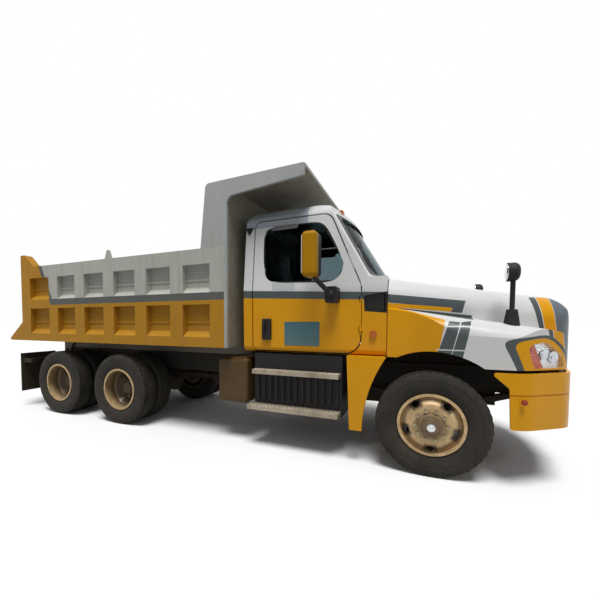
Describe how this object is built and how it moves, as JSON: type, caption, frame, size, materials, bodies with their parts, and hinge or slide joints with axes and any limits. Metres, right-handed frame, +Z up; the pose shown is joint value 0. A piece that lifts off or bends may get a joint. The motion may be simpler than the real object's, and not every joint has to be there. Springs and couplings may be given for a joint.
{
  "type": "tandem-axle dump truck",
  "caption": "Conventional-cab dump truck with tilting hood, steered front axle, dual-wheel tandem, box-braced tipping body with cab canopy, front hoist and top-hung tailgate",
  "frame": {"origin": "on the road, in the middle of the box around the truck", "axes": "+X forward, +Y to the driver's left, +Z up"},
  "size_m": [7.81, 2.93, 3.185],
  "materials": {
    "cab_paint": "gloss two-tone paint, white over yellow",
    "yellow_paint": "gloss amber yellow paint",
    "bed_paint": "worn light grey over orange paint",
    "bed_steel": "scuffed grey plate",
    "chassis_black": "dusty black paint",
    "axle_iron": "rough cast iron",
    "wheel_gold": "faded gold paint",
    "tyre": "worn dusty rubber",
    "glass": "tinted glass",
    "lamp_amber": "amber lens",
    "lamp_clear": "clear lens over a bright bowl",
    "step_alloy": "worn tread plate",
    "dark_plastic": "grained black plastic",
    "tank_paint": "dusty ochre paint",
    "seat_cloth": "dark woven cloth",
    "flap_rubber": "dusty rubber sheet",
    "cylinder_chrome": "hard chrome"
  },
  "bodies": {
    "chassis": {"frame_rails": "chassis_black", "crossmembers": "chassis_black", "engine": "axle_iron", "front_axle": "axle_iron", "springs": "axle_iron", "rear_axles": "axle_iron", "drive_shafts": "axle_iron", "tanks": "tank_paint", "step_box": "dark_plastic", "steps": "step_alloy", "bumper": "yellow_paint", "quarter_fenders": "yellow_paint", "mudflaps": "flap_rubber", "lamps": "lamp_amber", "cab_shell": "cab_paint", "cab_glass": "glass", "dashboard": "dark_plastic", "seats": "seat_cloth"},
    "hood": {"hood_shell": "cab_paint", "grille": "dark_plastic", "headlamps": "lamp_clear", "headlamp_lenses": "glass", "fender_mirrors": "dark_plastic"},
    "right_door": {"door_right": "cab_paint", "door_glass_right": "glass", "door_fittings_right": "dark_plastic"},
    "left_door": {"door_left": "cab_paint", "door_glass_left": "glass", "door_fittings_left": "dark_plastic"},
    "bed": {"bed_floor": "bed_steel", "bed_sides": "bed_paint", "bed_front": "bed_paint", "canopy": "bed_paint"},
    "gate": {"tailgate": "bed_paint"},
    "hoist_base": {"hoist_barrel": "chassis_black"},
    "hoist_lower": {"hoist_stage_1": "cylinder_chrome"},
    "hoist_upper": {"hoist_stage_2": "cylinder_chrome"},
    "hoist_top": {"hoist_rod": "cylinder_chrome"},
    "right_knuckle": {"knuckle_right": "axle_iron"},
    "left_knuckle": {"knuckle_left": "axle_iron"},
    "track_rod": {"tie_rod": "axle_iron"},
    "front_left_wheel": {"wheel_front_left": "wheel_gold", "tyre_front_left": "tyre"},
    "front_right_wheel": {"wheel_front_right": "wheel_gold", "tyre_front_right": "tyre"},
    "mid_left_wheel": {"wheel_mid_left": "wheel_gold", "tyre_mid_left": "tyre"},
    "mid_right_wheel": {"wheel_mid_right": "wheel_gold", "tyre_mid_right": "tyre"},
    "rear_left_wheel": {"wheel_rear_left": "wheel_gold", "tyre_rear_left": "tyre"},
    "rear_right_wheel": {"wheel_rear_right": "wheel_gold", "tyre_rear_right": "tyre"}
  },
  "joints": [
    {"name": "bed_tilt", "type": "hinge", "parent": "chassis", "child": "bed", "pos_m": [-3.425, 0, 0.95], "axis": [0, -1, 0], "range_deg": [0, 50]},
    {"name": "gate_swing", "type": "hinge", "parent": "bed", "child": "gate", "pos_m": [-3.53, 0, 2.51], "axis": [0, 1, 0], "range_deg": [0, 75]},
    {"name": "hoist_swing", "type": "hinge", "parent": "chassis", "child": "hoist_base", "pos_m": [0.255, 0, 0.95], "axis": [0, -1, 0], "range_deg": [0, 33.5]},
    {"name": "hoist_slide_1", "type": "slide", "parent": "hoist_base", "child": "hoist_lower", "axis": [0, 0, 1], "range_m": [0, 1.025]},
    {"name": "hoist_slide_2", "type": "slide", "parent": "hoist_lower", "child": "hoist_upper", "axis": [0, 0, 1], "range_m": [0, 1.025]},
    {"name": "hoist_slide_3", "type": "slide", "parent": "hoist_upper", "child": "hoist_top", "axis": [0, 0, 1], "range_m": [0, 1.025]},
    {"name": "hood_tilt", "type": "hinge", "parent": "chassis", "child": "hood", "pos_m": [3.835, 0, 0.85], "axis": [0, 1, 0], "range_deg": [0, 75]},
    {"name": "right_door_swing", "type": "hinge", "parent": "chassis", "child": "right_door", "pos_m": [1.995, -1.041, 1.5], "axis": [0, 0, 1], "range_deg": [0, 70]},
    {"name": "left_door_swing", "type": "hinge", "parent": "chassis", "child": "left_door", "pos_m": [1.995, 1.041, 1.5], "axis": [0, 0, -1], "range_deg": [0, 70]},
    {"name": "right_steer", "type": "hinge", "parent": "chassis", "child": "right_knuckle", "pos_m": [2.675, -0.88, 0.505], "axis": [0, 0, 1], "range_deg": [-35, 35]},
    {"name": "left_steer", "type": "hinge", "parent": "chassis", "child": "left_knuckle", "pos_m": [2.675, 0.88, 0.505], "axis": [0, 0, 1], "range_deg": [-35, 35]},
    {"name": "track_rod_slide", "type": "slide", "parent": "chassis", "child": "track_rod", "axis": [0, 1, 0], "range_m": [-0.112, 0.112]},
    {"name": "front_left_spin", "type": "hinge", "parent": "left_knuckle", "child": "front_left_wheel", "pos_m": [2.675, 1.045, 0.505], "axis": [0, 1, 0], "continuous": true},
    {"name": "front_right_spin", "type": "hinge", "parent": "right_knuckle", "child": "front_right_wheel", "pos_m": [2.675, -1.045, 0.505], "axis": [0, 1, 0], "continuous": true},
    {"name": "mid_left_spin", "type": "hinge", "parent": "chassis", "child": "mid_left_wheel", "pos_m": [-1.365, 0.905, 0.505], "axis": [0, 1, 0], "continuous": true},
    {"name": "mid_right_spin", "type": "hinge", "parent": "chassis", "child": "mid_right_wheel", "pos_m": [-1.365, -0.905, 0.505], "axis": [0, 1, 0], "continuous": true},
    {"name": "rear_left_spin", "type": "hinge", "parent": "chassis", "child": "rear_left_wheel", "pos_m": [-2.685, 0.905, 0.505], "axis": [0, 1, 0], "continuous": true},
    {"name": "rear_right_spin", "type": "hinge", "parent": "chassis", "child": "rear_right_wheel", "pos_m": [-2.685, -0.905, 0.505], "axis": [0, 1, 0], "continuous": true}
  ],
  "couplings": [
    {"joint": "hoist_swing", "follows": "bed_tilt", "ratio": 0.646},
    {"joint": "hoist_slide_1", "follows": "bed_tilt", "m_per_rad": 1.155},
    {"joint": "hoist_slide_2", "follows": "bed_tilt", "m_per_rad": 1.155},
    {"joint": "hoist_slide_3", "follows": "bed_tilt", "m_per_rad": 1.155},
    {"joint": "left_steer", "follows": "right_steer", "ratio": 1},
    {"joint": "track_rod_slide", "follows": "right_steer", "m_per_rad": -0.1784}
  ]
}
